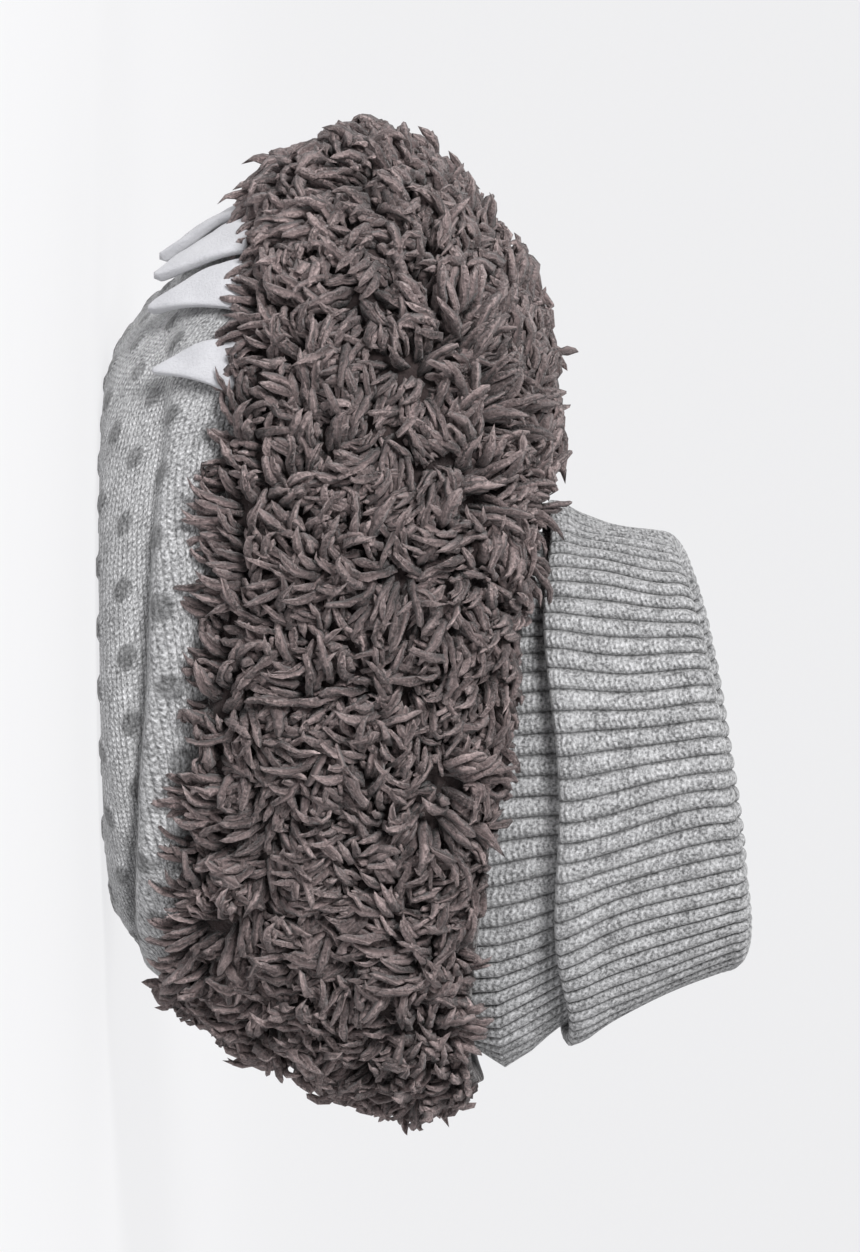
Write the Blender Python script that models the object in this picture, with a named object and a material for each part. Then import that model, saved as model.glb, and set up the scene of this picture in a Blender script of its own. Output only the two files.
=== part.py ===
"""A baby's claw bootie: a shaggy fleece upper on a cupped knit sole, a ribbed turn-down cuff and felt claws.

Metres. +X points to the toe, +Y to the shoe's left side and +Z up, and the sole's flat spot lies on z = 0. The
origin is on that spot, under the middle of the bootie's box. A piece is laid out by its turn, an angle round the
foot seen from above: 0 at the toe, 90 at the left side, 180 at the heel and -90 at the right side.
"""

import math
import random

import bmesh
import bpy
from mathutils import Vector

UP = Vector((0.0, 0.0, 1.0))

# Pieces that meet are left this far apart
GAP = 0.0003

# The seam between fleece and sole, the line that a maker calls the feather line
SEAM_LENGTH = 0.100
SEAM_MIDDLE = 0.0030
BALL_WIDTH = 0.048
TOE_SEAM_HEIGHT = 0.0215
PLAN_POWER = 2.5

# The cupped jersey sole, padded all over: two soft rolls with a crease between them
SOLE_PAD = 0.0040
ROLL_SWELL = 0.0012
CREASE_AT = 0.46
FLOOR_LENGTH = 0.062
FLOOR_MIDDLE = 0.0000
FLOOR_WIDTH = 0.037

# The insole that lies in the sole's cup
INSOLE_THICK = 0.0024
INSOLE_EDGE = 0.0006

# The fleece: its backing cloth, the dense foot of its pile, and the locks that stand out of it
BACKING = 0.0016
PILE_FOOT = 0.0022
LOCK_LENGTH = 0.0066
LOCK_LEAN = 0.0018
LOCK_STRAY = 0.0004
SHORTEST_LOCK = 0.70

# The edge of the fleece round the ankle
COLLAR_LENGTH = 0.0720
COLLAR_WIDTH = 0.0360
COLLAR_MIDDLE = -0.0230
COLLAR_HEIGHT = 0.0480

# The ribbed cuff: one knitted tube, loose above the collar and folded down over itself
RIB_THICK = 0.0018
RIB_SLACK = 0.0010
TUCK = 0.0025
SHAFT_SWELL = 0.0038
FOLD_LENGTH = 0.0520
FOLD_WIDTH = 0.0340
FOLD_MIDDLE = -0.0165
FOLD_RISE = 0.0350
HEM_RISE = 0.0115
HEM_FLARE = 0.0012

# The felt claws along the toe, of which claw_1 is the one in front
CLAW_THICK = 0.0016
CLAW_BOW = 0.16
CLAW_DROP = 0.0022
CLAW_LIFT = 0.0015
CLAW_TABLE = {
    "turn": (-7.0, 14.5, 33.0, 51.5),
    "length": (0.0130, 0.0128, 0.0125, 0.0100),
    "width": (0.0078, 0.0078, 0.0072, 0.0066),
    "sweep": (0.0000, 0.0010, 0.0042, 0.0055),
}

# How finely each piece is divided
UPPER_COLUMNS = 60
UPPER_ROWS = 20
LINING_ROWS = 8
SOLE_ROWS = 9
CUP_ROWS = 5
CUFF_COLUMNS = 44
CUFF_ROWS = 4
FOLD_STEPS = 5
CLAW_ROWS = 6

# Seam: half width as a share of half the ball width, and height as a share of the height at the toe
SEAM_TABLE = {
    "turn": (0, 45, 80, 110, 140, 180),
    "half": (0.93, 1.00, 1.00, 0.93, 0.86, 0.82),
    "rise": (1.00, 0.93, 0.76, 0.62, 0.52, 0.48),
}

# Fleece, from seam to collar: how far its curve leaves the seam and comes in to the collar, outward as shares of
# the ball width and upward as shares of the collar's height
UPPER_TABLE = {
    "turn": (0, 45, 90, 135, 180),
    "out_low": (0.450, 0.240, 0.110, 0.110, 0.125),
    "up_low": (0.310, 0.290, 0.220, 0.230, 0.250),
    "out_high": (0.680, 0.410, 0.170, 0.110, 0.110),
    "up_high": (0.050, -0.040, -0.110, -0.190, -0.240),
}

# Collar edge and cuff: heights as shares of the collar's, the fold's and the hem's, and the shaft's own swell
ANKLE_TABLE = {
    "turn": (0, 30, 60, 90, 130, 160, 180),
    "collar": (1.115, 1.095, 1.055, 1.010, 0.965, 0.975, 1.000),
    "fold": (0.880, 0.902, 0.935, 0.965, 0.995, 0.990, 0.960),
    "hem": (0.955, 0.958, 0.965, 0.978, 0.992, 1.000, 1.000),
    "swell": (0.000, 0.000, 0.000, 0.050, 0.400, 0.850, 1.000),
}

# Locks, by their share of the way from seam to collar: their length, what the cuff's front takes off it, and how
# far they may lean
LOCK_TABLE = {
    "way": (0.00, 0.12, 0.20, 0.86, 0.95, 1.00),
    "length": (0.75, 1.00, 1.00, 1.00, 0.55, 0.55),
    "under_cuff": (0.00, 0.00, 0.00, 0.00, 0.50, 0.50),
    "lean": (0.00, 0.75, 1.00, 1.00, 0.40, 0.00),
}

# The wandering direction in which the locks lie: turns of the foot, climbs and start of each wave, and its size
SWIRL_TABLE = {
    "around": (3, 4, 2),
    "climb": (4.0, -6.0, 8.0),
    "start": (0.0, 1.0, 1.6),
    "size": (1.4, 1.1, 0.9),
}

# The shaft between collar and hem: share of its height, and share of its swell
SHAFT_TABLE = {
    "height": (0.00, 0.25, 0.45, 0.72, 1.00),
    "swell": (0.00, 0.10, 1.00, 0.70, 0.10),
}

# Sole, from seam to floor: its belly out of the seam and out of the floor's edge as shares of the ball width,
# its drop from the seam as a share of the seam's height at the toe, and how far its rolls swell
SOLE_TABLE = {
    "turn": (0, 45, 90, 135, 180),
    "belly_high": (-0.020, 0.010, 0.060, 0.050, 0.020),
    "drop": (0.280, 0.250, 0.200, 0.160, 0.140),
    "belly_low": (0.160, 0.140, 0.110, 0.130, 0.160),
    "roll": (0.150, 0.600, 1.000, 1.000, 0.400),
}


def read(table, column, turn):
    """A table's value at a turn, on a smooth curve through its rows."""
    turns = table["turn"]
    values = table[column]
    at = abs((turn + 180.0) % 360.0 - 180.0)
    last = len(turns) - 1
    row = max(i for i in range(last) if turns[i] <= at)
    span = turns[row + 1] - turns[row]
    t = (at - turns[row]) / span

    def slope(i):
        if i in (0, last):
            return 0.0
        return (values[i + 1] - values[i - 1]) / (turns[i + 1] - turns[i - 1]) * span

    a, b = values[row], values[row + 1]
    ta, tb = slope(row), slope(row + 1)
    return (
        a * (2 * t**3 - 3 * t**2 + 1)
        + ta * (t**3 - 2 * t**2 + t)
        + b * (3 * t**2 - 2 * t**3)
        + tb * (t**3 - t**2)
    )


def rounded(length, width, turn, power):
    """A point of a plan outline, an oval for power 2 and squarer above it."""
    c, s = math.cos(math.radians(turn)), math.sin(math.radians(turn))
    x = math.copysign(abs(c) ** (2 / power), c) * length / 2
    y = math.copysign(abs(s) ** (2 / power), s) * width / 2
    return Vector((x, y, 0.0))


def seam(turn):
    point = rounded(SEAM_LENGTH, BALL_WIDTH * read(SEAM_TABLE, "half", turn), turn, PLAN_POWER)
    return point + Vector((SEAM_MIDDLE, 0.0, TOE_SEAM_HEIGHT * read(SEAM_TABLE, "rise", turn)))


def collar(turn):
    point = rounded(COLLAR_LENGTH, COLLAR_WIDTH, turn, 2)
    return point + Vector((COLLAR_MIDDLE, 0.0, COLLAR_HEIGHT * read(ANKLE_TABLE, "collar", turn)))


def floor_edge(turn):
    half = read(SEAM_TABLE, "half", turn)
    return rounded(FLOOR_LENGTH, FLOOR_WIDTH * half, turn, PLAN_POWER) + Vector((FLOOR_MIDDLE, 0.0, 0.0))


def outward(outline, turn):
    """The level direction square to a plan outline, away from the foot."""
    step = 0.5
    along = outline(turn + step) - outline(turn - step)
    return Vector((along.y, -along.x, 0.0)).normalized()


def bezier(a, b, c, d, t):
    s = 1 - t
    return a * s**3 + b * (3 * s * s * t) + c * (3 * s * t * t) + d * t**3


def skin(turn, t):
    """The fleece's backing cloth, from the seam at t = 0 to the collar at t = 1."""
    low, high = seam(turn), collar(turn)
    out_low = BALL_WIDTH * read(UPPER_TABLE, "out_low", turn)
    up_low = COLLAR_HEIGHT * read(UPPER_TABLE, "up_low", turn)
    out_high = BALL_WIDTH * read(UPPER_TABLE, "out_high", turn)
    up_high = COLLAR_HEIGHT * read(UPPER_TABLE, "up_high", turn)
    return bezier(
        low,
        low + outward(seam, turn) * out_low + UP * up_low,
        high + outward(collar, turn) * out_high + UP * up_high,
        high,
        t,
    )


def sole_curve(turn, t):
    """The line of the sole's outer side, from just under the seam at t = 0 to the flat spot's edge at t = 1."""
    high, low = seam(turn) - UP * GAP, floor_edge(turn)
    belly_high = BALL_WIDTH * read(SOLE_TABLE, "belly_high", turn)
    drop = TOE_SEAM_HEIGHT * read(SOLE_TABLE, "drop", turn)
    belly_low = BALL_WIDTH * read(SOLE_TABLE, "belly_low", turn)
    return bezier(
        high,
        high + outward(seam, turn) * belly_high - UP * drop,
        low + outward(floor_edge, turn) * belly_low,
        low,
        t,
    )


def sole_side(turn, t):
    """The sole's outer side with its two padded rolls, which meet in the crease."""
    share = t / CREASE_AT if t < CREASE_AT else (t - CREASE_AT) / (1 - CREASE_AT)
    swell = ROLL_SWELL * read(SOLE_TABLE, "roll", turn) * math.sin(math.pi * share)
    return sole_curve(turn, t) + outward(seam, turn) * swell


def cup_side(turn, t):
    """The inside of the sole's cup, from the seam at t = 0 to the edge of its floor at t = 1."""
    out = outward(seam, turn)
    high = seam(turn) - UP * GAP - out * SOLE_PAD
    low = floor_edge(turn) + UP * SOLE_PAD
    drop = TOE_SEAM_HEIGHT * read(SOLE_TABLE, "drop", turn)
    belly_low = BALL_WIDTH * read(SOLE_TABLE, "belly_low", turn)
    return bezier(high, high - UP * drop / 2, low + outward(floor_edge, turn) * belly_low / 2, low, t)


def square_to(surface, turn, t):
    """The direction square to a surface, pointing out of the shoe."""
    step_turn, step_t = 0.5, 0.01
    before, after = max(t - step_t, 0.0), min(t + step_t, 1.0)
    around = surface(turn + step_turn, t) - surface(turn - step_turn, t)
    along = surface(turn, after) - surface(turn, before)
    normal = around.cross(along).normalized()
    middle = surface(turn, t) - Vector((COLLAR_MIDDLE, 0.0, COLLAR_HEIGHT / 2))
    return normal if normal.dot(middle) > 0 else -normal


def moved(surface, turn, t, distance):
    return surface(turn, t) + square_to(surface, turn, t) * distance


def wall_point(turn, t, distance):
    """A point of the fleece's wall, off its backing cloth. At the seam the wall is cut off level."""
    across = outward(seam, turn) if t == 0 else square_to(skin, turn, t)
    return skin(turn, t) + across * distance


def even_turns(count):
    """Turns that split the seam into steps of one length, with one at the toe and one at the heel."""
    half_degrees = 720
    marks = [seam(i / 2).xy for i in range(half_degrees + 1)]
    run = [0.0]
    for a, b in zip(marks, marks[1:]):
        run.append(run[-1] + (b - a).length)
    turns = []
    i = 0
    for k in range(count):
        want = run[-1] * k / count
        while run[i + 1] < want:
            i += 1
        turns.append((i + (want - run[i]) / (run[i + 1] - run[i])) / 2)
    return turns


def between(turns, k):
    """The turn halfway from step k to the next."""
    after = turns[k + 1] if k + 1 < len(turns) else turns[0] + 360.0
    return (turns[k] + after) / 2


def add_ring(mesh, points):
    return [mesh.verts.new(p) for p in points]


def bridge(mesh, low, high):
    """A band of four-sided faces between two rings of equal count."""
    count = len(low)
    for k in range(count):
        n = (k + 1) % count
        mesh.faces.new((low[k], low[n], high[n], high[k]))


def finish(name, mesh, material, smooth=False):
    """The mesh as a named object, its faces pointing out."""
    bmesh.ops.recalc_face_normals(mesh, faces=mesh.faces)
    data = bpy.data.meshes.new(name)
    mesh.to_mesh(data)
    mesh.free()
    data.materials.append(material)
    if smooth:
        data.shade_smooth()
    obj = bpy.data.objects.new(name, data)
    bpy.context.scene.collection.objects.link(obj)
    return obj


def cloth(name, color, roughness):
    material = bpy.data.materials.new(name)
    material.use_nodes = True
    shader = material.node_tree.nodes["Principled BSDF"]
    shader.inputs["Base Color"].default_value = (*color, 1.0)
    shader.inputs["Roughness"].default_value = roughness
    shader.inputs["Metallic"].default_value = 0.0
    return material


def ramp(table, column, t):
    """A table's value at a share of the way, on straight lines through its rows."""
    ways = table["way"]
    values = table[column]
    row = max(i for i in range(len(ways) - 1) if ways[i] <= t)
    share = (t - ways[row]) / (ways[row + 1] - ways[row])
    return values[row] + (values[row + 1] - values[row]) * share


def lock_scale(turn, t):
    """How long the locks are: short where the cuff's front hangs over them, and full elsewhere."""
    front = max(0.0, math.cos(math.radians(turn))) ** 2
    return ramp(LOCK_TABLE, "length", t) - ramp(LOCK_TABLE, "under_cuff", t) * front


def lock_lean(turn, t, out):
    """Which way the locks lie here. It wanders slowly, so that neighbours lie alike."""
    waves = zip(*(SWIRL_TABLE[column] for column in ("around", "climb", "start", "size")))
    swirl = sum(size * math.sin(n * math.radians(turn) + climb * t + start) for n, climb, start, size in waves)
    around = UP.cross(out).normalized()
    along = out.cross(around)
    lean = LOCK_LEAN * ramp(LOCK_TABLE, "lean", t)
    return (around * math.sin(swirl) - along * math.cos(swirl)) * lean


def build_upper(material):
    """The fleece: a hollow wall with staggered locks drawn out of its outer side."""
    mesh = bmesh.new()
    turns = even_turns(UPPER_COLUMNS)
    halfway = [between(turns, k) for k in range(UPPER_COLUMNS)]
    rings = []
    for i in range(UPPER_ROWS + 1):
        at = halfway if i % 2 else turns
        rings.append(add_ring(mesh, [wall_point(turn, i / UPPER_ROWS, PILE_FOOT) for turn in at]))
    lining = []
    for i in range(LINING_ROWS + 1):
        lining.append(add_ring(mesh, [wall_point(turn, i / LINING_ROWS, -BACKING) for turn in turns]))

    patches = []
    count = UPPER_COLUMNS
    for i in range(UPPER_ROWS - 1):
        t = (i + 1) / UPPER_ROWS
        for k in range(count):
            left, right = (k, (k + 1) % count) if i % 2 else ((k - 1) % count, k)
            corners = (rings[i][k], rings[i + 1][right], rings[i + 2][k], rings[i + 1][left])
            turn = halfway[k] if i % 2 else turns[k]
            patches.append((mesh.faces.new(corners), turn, t))
    for k in range(count):
        n = (k + 1) % count
        mesh.faces.new((rings[0][k], rings[0][n], rings[1][k]))
        mesh.faces.new((rings[-1][n], rings[-1][k], rings[-2][k]))
    for low, high in zip(lining, lining[1:]):
        bridge(mesh, low, high)
    bridge(mesh, rings[0], lining[0])
    bridge(mesh, rings[-1], lining[-1])

    chance = random.Random(11)
    for face, turn, t in patches:
        tip = bmesh.ops.poke(mesh, faces=[face])["verts"][0]
        out = square_to(skin, turn, t)
        length = LOCK_LENGTH * chance.uniform(SHORTEST_LOCK, 1.0)
        stray = Vector([chance.uniform(-1, 1) for _ in range(3)]) * LOCK_STRAY
        lock = out * (length - PILE_FOOT) + lock_lean(turn, t, out) + stray
        tip.co = skin(turn, t) + out * PILE_FOOT + lock * lock_scale(turn, t)
    return finish("fleece_upper", mesh, material)


def build_sole(material):
    """The sole: a padded jersey cup, flat where it stands."""
    mesh = bmesh.new()
    turns = even_turns(UPPER_COLUMNS)
    outer = [add_ring(mesh, [sole_side(turn, i / SOLE_ROWS) for turn in turns]) for i in range(SOLE_ROWS + 1)]
    inner = [add_ring(mesh, [cup_side(turn, i / CUP_ROWS) for turn in turns]) for i in range(CUP_ROWS + 1)]
    for rows in (outer, inner):
        for high, low in zip(rows, rows[1:]):
            bridge(mesh, high, low)
        mesh.faces.new(rows[-1])
    bridge(mesh, outer[0], inner[0])
    return finish("knit_sole", mesh, material, smooth=True)


def build_insole(material):
    """A flat pad cut to the floor of the sole's cup, its upper edge eased."""
    mesh = bmesh.new()
    outline = []
    for turn in even_turns(UPPER_COLUMNS):
        outline.append(cup_side(turn, 1.0) - outward(floor_edge, turn) * INSOLE_EDGE + UP * GAP)
    base = mesh.faces.new(add_ring(mesh, outline))
    grown = bmesh.ops.extrude_face_region(mesh, geom=[base])["geom"]
    raised = [g for g in grown if isinstance(g, bmesh.types.BMVert)]
    bmesh.ops.translate(mesh, verts=raised, vec=UP * (INSOLE_THICK - INSOLE_EDGE))
    top = next(g for g in grown if isinstance(g, bmesh.types.BMFace))
    bmesh.ops.inset_region(mesh, faces=[top], thickness=INSOLE_EDGE, depth=INSOLE_EDGE)
    return finish("insole", mesh, material)


def ankle_low(turn):
    """The cuff's outer face at its lower end, tucked in behind the fleece's collar."""
    return wall_point(turn, 1.0, -BACKING) - outward(collar, turn) * GAP - UP * TUCK


def ankle_high(turn):
    """The same face just under the fold."""
    point = rounded(FOLD_LENGTH, FOLD_WIDTH, turn, 2)
    height = (COLLAR_HEIGHT + FOLD_RISE) * read(ANKLE_TABLE, "fold", turn) - RIB_THICK - RIB_SLACK / 2
    return point + Vector((FOLD_MIDDLE, 0.0, height))


def cuff_section(turn):
    """One slice of the cuff as (share of its height, outward distance, rise above the fold's centre)."""
    low, high = ankle_low(turn).z, ankle_high(turn).z
    hem = ((COLLAR_HEIGHT + HEM_RISE) * read(ANKLE_TABLE, "hem", turn) - low) / (high - low)
    swell = SHAFT_SWELL * read(ANKLE_TABLE, "swell", turn)
    shaft = [(h * hem, s * swell) for h, s in zip(SHAFT_TABLE["height"], SHAFT_TABLE["swell"])]
    middle = RIB_SLACK / 2
    reach = middle + RIB_THICK
    turned = [((i + 1) / CUFF_ROWS, HEM_FLARE * ((i + 1) / CUFF_ROWS) ** 2) for i in range(CUFF_ROWS)]
    arc = [math.pi * (1 - i / FOLD_STEPS) for i in range(FOLD_STEPS + 1)]
    short_arc = arc[::-1][::2] + arc[:1]

    section = [(h, s - RIB_THICK, 0.0) for h, s in shaft]
    section += [(1.0, middle + reach * math.cos(a), reach * math.sin(a)) for a in arc]
    section += [(1 - (1 - hem) * t, RIB_SLACK + RIB_THICK + flare, 0.0) for t, flare in turned]
    section += [(1 - (1 - hem) * t, RIB_SLACK + flare, 0.0) for t, flare in reversed(turned)]
    section += [(1.0, middle + middle * math.cos(a), middle * math.sin(a)) for a in short_arc]
    section += [(h, s, 0.0) for h, s in reversed(shaft)]
    return section


def build_cuff(material):
    """The ribbed tube, up from the collar and folded down over itself, open at the top."""
    mesh = bmesh.new()
    slices = []
    for k in range(CUFF_COLUMNS):
        turn = 360.0 * k / CUFF_COLUMNS
        low, high = ankle_low(turn), ankle_high(turn)
        out = outward(collar, turn)
        points = [low.lerp(high, h) + out * away + UP * rise for h, away, rise in cuff_section(turn)]
        slices.append(add_ring(mesh, points))
    for k, ring in enumerate(slices):
        bridge(mesh, ring, slices[(k + 1) % CUFF_COLUMNS])
    return finish("rib_cuff", mesh, material, smooth=True)


def claw_half(width, t):
    """Half a claw's width at a share of its length, with softly bowed sides."""
    return width / 2 * ((1 - t) + CLAW_BOW * math.sin(math.pi * t))


def claw_point(row, side, t, height):
    """A point of a claw, side -1 to 1 across it, laid on the sole and lifting off it towards the tip."""
    turn, length, width, sweep = (CLAW_TABLE[column][row] for column in ("turn", "length", "width", "sweep"))
    side_length = (sole_curve(turn, 1.0) - sole_curve(turn, 0.5)).length
    side_length += (seam(turn) - sole_curve(turn, 0.5)).length
    per_turn = (seam(turn + 0.5) - seam(turn - 0.5)).length
    across = side * claw_half(width, t) - sweep * t
    down = (CLAW_DROP + length * t) / side_length
    return moved(sole_side, turn + across / per_turn, down, GAP + CLAW_LIFT * t * t + height)


def build_claw(row, material):
    """A felt claw that hangs from the seam, close over the sole's toe."""
    mesh = bmesh.new()
    layers = []
    for height in (0.0, CLAW_THICK):
        rows = []
        for i in range(CLAW_ROWS):
            t = i / CLAW_ROWS
            rows.append(add_ring(mesh, [claw_point(row, side, t, height) for side in (-1, 0, 1)]))
        layers.append((rows, mesh.verts.new(claw_point(row, 0, 1.0, height))))
    for rows, tip in layers:
        for upper, lower in zip(rows, rows[1:]):
            for k in range(2):
                mesh.faces.new((upper[k], upper[k + 1], lower[k + 1], lower[k]))
        for k in range(2):
            mesh.faces.new((rows[-1][k], rows[-1][k + 1], tip))
    rims = []
    for rows, tip in layers:
        left = [row[0] for row in rows]
        right = [row[2] for row in reversed(rows)]
        rims.append(left + [tip] + right + [rows[0][1]])
    bridge(mesh, rims[0], rims[1])
    return finish(f"claw_{row + 1}", mesh, material)


def clear_scene():
    for obj in list(bpy.data.objects):
        bpy.data.objects.remove(obj, do_unlink=True)


def main():
    clear_scene()
    jersey = cloth("grey_jersey", (0.38, 0.38, 0.385), 0.95)
    fleece = cloth("brown_fleece", (0.080, 0.064, 0.063), 0.90)
    rib = cloth("grey_rib", (0.37, 0.37, 0.375), 0.95)
    felt = cloth("white_felt", (0.82, 0.82, 0.85), 0.90)
    lining = cloth("insole_cloth", (0.55, 0.55, 0.56), 0.95)
    build_upper(fleece)
    build_sole(jersey)
    build_insole(lining)
    build_cuff(rib)
    for row in range(len(CLAW_TABLE["turn"])):
        build_claw(row, felt)


main()
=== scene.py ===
# %% [markdown]
# A baby's claw bootie, dressed
#
# The bootie is already built as solids: a fleece upper, a cupped sole, an insole, a ribbed cuff and four
# claws. Here each solid gets the cloth that the real one is made of: shaggy fleece with thousands of locks,
# heather jersey with grip dots, fine rib knit and white felt. The solids are loaded first, as a frame that
# stays put.

# %% Load the frame
import math
import random

import bpy
import numpy as np
from mathutils import Matrix, Vector


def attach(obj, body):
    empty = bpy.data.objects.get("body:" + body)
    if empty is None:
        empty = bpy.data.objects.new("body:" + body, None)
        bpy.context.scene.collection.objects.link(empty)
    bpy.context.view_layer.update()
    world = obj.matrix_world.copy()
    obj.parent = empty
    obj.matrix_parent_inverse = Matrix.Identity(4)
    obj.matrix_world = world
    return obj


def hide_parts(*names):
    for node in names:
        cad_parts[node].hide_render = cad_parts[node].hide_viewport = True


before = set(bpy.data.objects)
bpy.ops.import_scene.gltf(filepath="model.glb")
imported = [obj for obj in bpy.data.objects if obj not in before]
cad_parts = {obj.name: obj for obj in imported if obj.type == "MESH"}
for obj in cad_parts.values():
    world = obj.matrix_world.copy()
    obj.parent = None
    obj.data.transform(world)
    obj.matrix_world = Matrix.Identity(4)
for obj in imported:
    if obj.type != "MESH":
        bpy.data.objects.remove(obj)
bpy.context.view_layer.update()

# %% [markdown]
# A shoe is drawn from a few sizes. The seam between fleece and sole, the collar round the ankle and the fold
# of the cuff are three outlines seen from above, and the cloth is stretched between them. Each place is
# named by its turn: 0 at the toe, 90 at the left side and 180 at the heel. The same sizes shaped the solids,
# in metres, so what is dressed here fits them.

# %% Sizes of the seam, the sole and the fleece
GAP = 0.0003
SEAM_LENGTH, SEAM_MIDDLE, BALL_WIDTH = 0.100, 0.0030, 0.048
TOE_SEAM_HEIGHT, PLAN_POWER = 0.0215, 2.5
SOLE_PAD, ROLL_SWELL, CREASE_AT = 0.0040, 0.0012, 0.46
FLOOR_LENGTH, FLOOR_MIDDLE, FLOOR_WIDTH = 0.062, 0.0, 0.037
INSOLE_THICK, INSOLE_EDGE = 0.0024, 0.0006
BACKING = 0.0016
COLLAR_LENGTH, COLLAR_WIDTH = 0.0720, 0.0360
COLLAR_MIDDLE, COLLAR_HEIGHT = -0.0230, 0.0480

SEAM_TABLE = {
    "turn": (0, 45, 80, 110, 140, 180),
    "half": (0.93, 1.00, 1.00, 0.93, 0.86, 0.82),
    "rise": (1.00, 0.93, 0.76, 0.62, 0.52, 0.48),
}
UPPER_TABLE = {
    "turn": (0, 45, 90, 135, 180),
    "out_low": (0.450, 0.240, 0.110, 0.110, 0.125),
    "up_low": (0.310, 0.290, 0.220, 0.230, 0.250),
    "out_high": (0.680, 0.410, 0.170, 0.110, 0.110),
    "up_high": (0.050, -0.040, -0.110, -0.190, -0.240),
}
SOLE_TABLE = {
    "turn": (0, 45, 90, 135, 180),
    "belly_high": (-0.020, 0.010, 0.060, 0.050, 0.020),
    "drop": (0.280, 0.250, 0.200, 0.160, 0.140),
    "belly_low": (0.160, 0.140, 0.110, 0.130, 0.160),
    "roll": (0.150, 0.600, 1.000, 1.000, 0.400),
}
print("seam length", SEAM_LENGTH, "collar height", COLLAR_HEIGHT)

# %% Sizes of the cuff and the claws
RIB_THICK, RIB_SLACK, TUCK, SHAFT_SWELL = 0.0018, 0.0010, 0.0025, 0.0038
FOLD_LENGTH, FOLD_WIDTH = 0.0520, 0.0340
FOLD_MIDDLE, FOLD_RISE = -0.0165, 0.0350
HEM_RISE, HEM_FLARE = 0.0115, 0.0012
CLAW_THICK, CLAW_BOW, CLAW_DROP, CLAW_LIFT = 0.0016, 0.16, 0.0022, 0.0015

CLAW_TABLE = {
    "turn": (-7.0, 14.5, 33.0, 51.5),
    "length": (0.0130, 0.0128, 0.0125, 0.0100),
    "width": (0.0078, 0.0078, 0.0072, 0.0066),
    "sweep": (0.0000, 0.0010, 0.0042, 0.0055),
}
ANKLE_TABLE = {
    "turn": (0, 30, 60, 90, 130, 160, 180),
    "collar": (1.115, 1.095, 1.055, 1.010, 0.965, 0.975, 1.000),
    "fold": (0.880, 0.902, 0.935, 0.965, 0.995, 0.990, 0.960),
    "hem": (0.955, 0.958, 0.965, 0.978, 0.992, 1.000, 1.000),
    "swell": (0.000, 0.000, 0.000, 0.050, 0.400, 0.850, 1.000),
}
SHAFT_TABLE = {
    "height": (0.00, 0.25, 0.45, 0.72, 1.00),
    "swell": (0.00, 0.10, 1.00, 0.70, 0.10),
}
print("fold height", COLLAR_HEIGHT + FOLD_RISE, "claws at turns", CLAW_TABLE["turn"])


# %% Read a table on a smooth curve
def read(table, column, turn):
    turns, values = np.array(table["turn"], float), np.array(table[column], float)
    at = np.abs((np.asarray(turn) + 180.0) % 360.0 - 180.0)
    row = np.clip(np.searchsorted(turns, at, side="right") - 1, 0, len(turns) - 2)
    slope = np.zeros(len(turns))
    slope[1:-1] = (values[2:] - values[:-2]) / (turns[2:] - turns[:-2])
    span = turns[row + 1] - turns[row]
    t = (at - turns[row]) / span
    rise = values[row + 1] * (3 * t**2 - 2 * t**3) + slope[row + 1] * span * (t**3 - t**2)
    return values[row] * (2 * t**3 - 3 * t**2 + 1) + slope[row] * span * (t**3 - 2 * t**2 + t) + rise


def xyz(x, y, z):
    return np.stack(np.broadcast_arrays(x, y, z), -1).astype(float)


print("seam height at the heel", round(float(TOE_SEAM_HEIGHT * read(SEAM_TABLE, "rise", 180)), 4))


# %% The three outlines
def rounded(length, width, turn, power):
    c, s = np.cos(np.radians(turn)), np.sin(np.radians(turn))
    x = np.copysign(np.abs(c) ** (2 / power), c) * length / 2
    return xyz(x, np.copysign(np.abs(s) ** (2 / power), s) * width / 2, 0.0)


def seam(turn):
    plan = rounded(SEAM_LENGTH, BALL_WIDTH * read(SEAM_TABLE, "half", turn), turn, PLAN_POWER)
    return plan + xyz(SEAM_MIDDLE, 0.0, TOE_SEAM_HEIGHT * read(SEAM_TABLE, "rise", turn))


def collar(turn):
    height = COLLAR_HEIGHT * read(ANKLE_TABLE, "collar", turn)
    return rounded(COLLAR_LENGTH, COLLAR_WIDTH, turn, 2) + xyz(COLLAR_MIDDLE, 0.0, height)


def floor_edge(turn):
    plan = rounded(FLOOR_LENGTH, FLOOR_WIDTH * read(SEAM_TABLE, "half", turn), turn, PLAN_POWER)
    return plan + xyz(FLOOR_MIDDLE, 0.0, 0.0)


def unit(v):
    return v / np.maximum(np.linalg.norm(v, axis=-1, keepdims=True), 1e-12)


def outward(outline, turn):
    along = outline(turn + 0.5) - outline(turn - 0.5)
    return unit(xyz(along[..., 1], -along[..., 0], 0.0))


def full(turn, value):
    """The same value at every turn."""
    return np.full(np.shape(turn), float(value))


def between(start, stop, share):
    return start + (stop - start) * share[..., None]


print("toe of the seam", seam(0.0).round(4), "front of the collar", collar(0.0).round(4))


# %% Cloth between the outlines
def bezier(a, b, c, d, t):
    t = np.asarray(t)[..., None]
    return a * (1 - t) ** 3 + b * 3 * t * (1 - t) ** 2 + c * 3 * t**2 * (1 - t) + d * t**3


def away(outline, turn, table, column, size=BALL_WIDTH):
    return outward(outline, turn) * (size * read(table, column, turn))[..., None]


def skin(turn, t):
    low, high = seam(turn), collar(turn)
    rise = xyz(0.0, 0.0, COLLAR_HEIGHT * read(UPPER_TABLE, "up_low", turn))
    fall = xyz(0.0, 0.0, COLLAR_HEIGHT * read(UPPER_TABLE, "up_high", turn))
    leave = low + away(seam, turn, UPPER_TABLE, "out_low") + rise
    return bezier(low, leave, high + away(collar, turn, UPPER_TABLE, "out_high") + fall, high, t)


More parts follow.
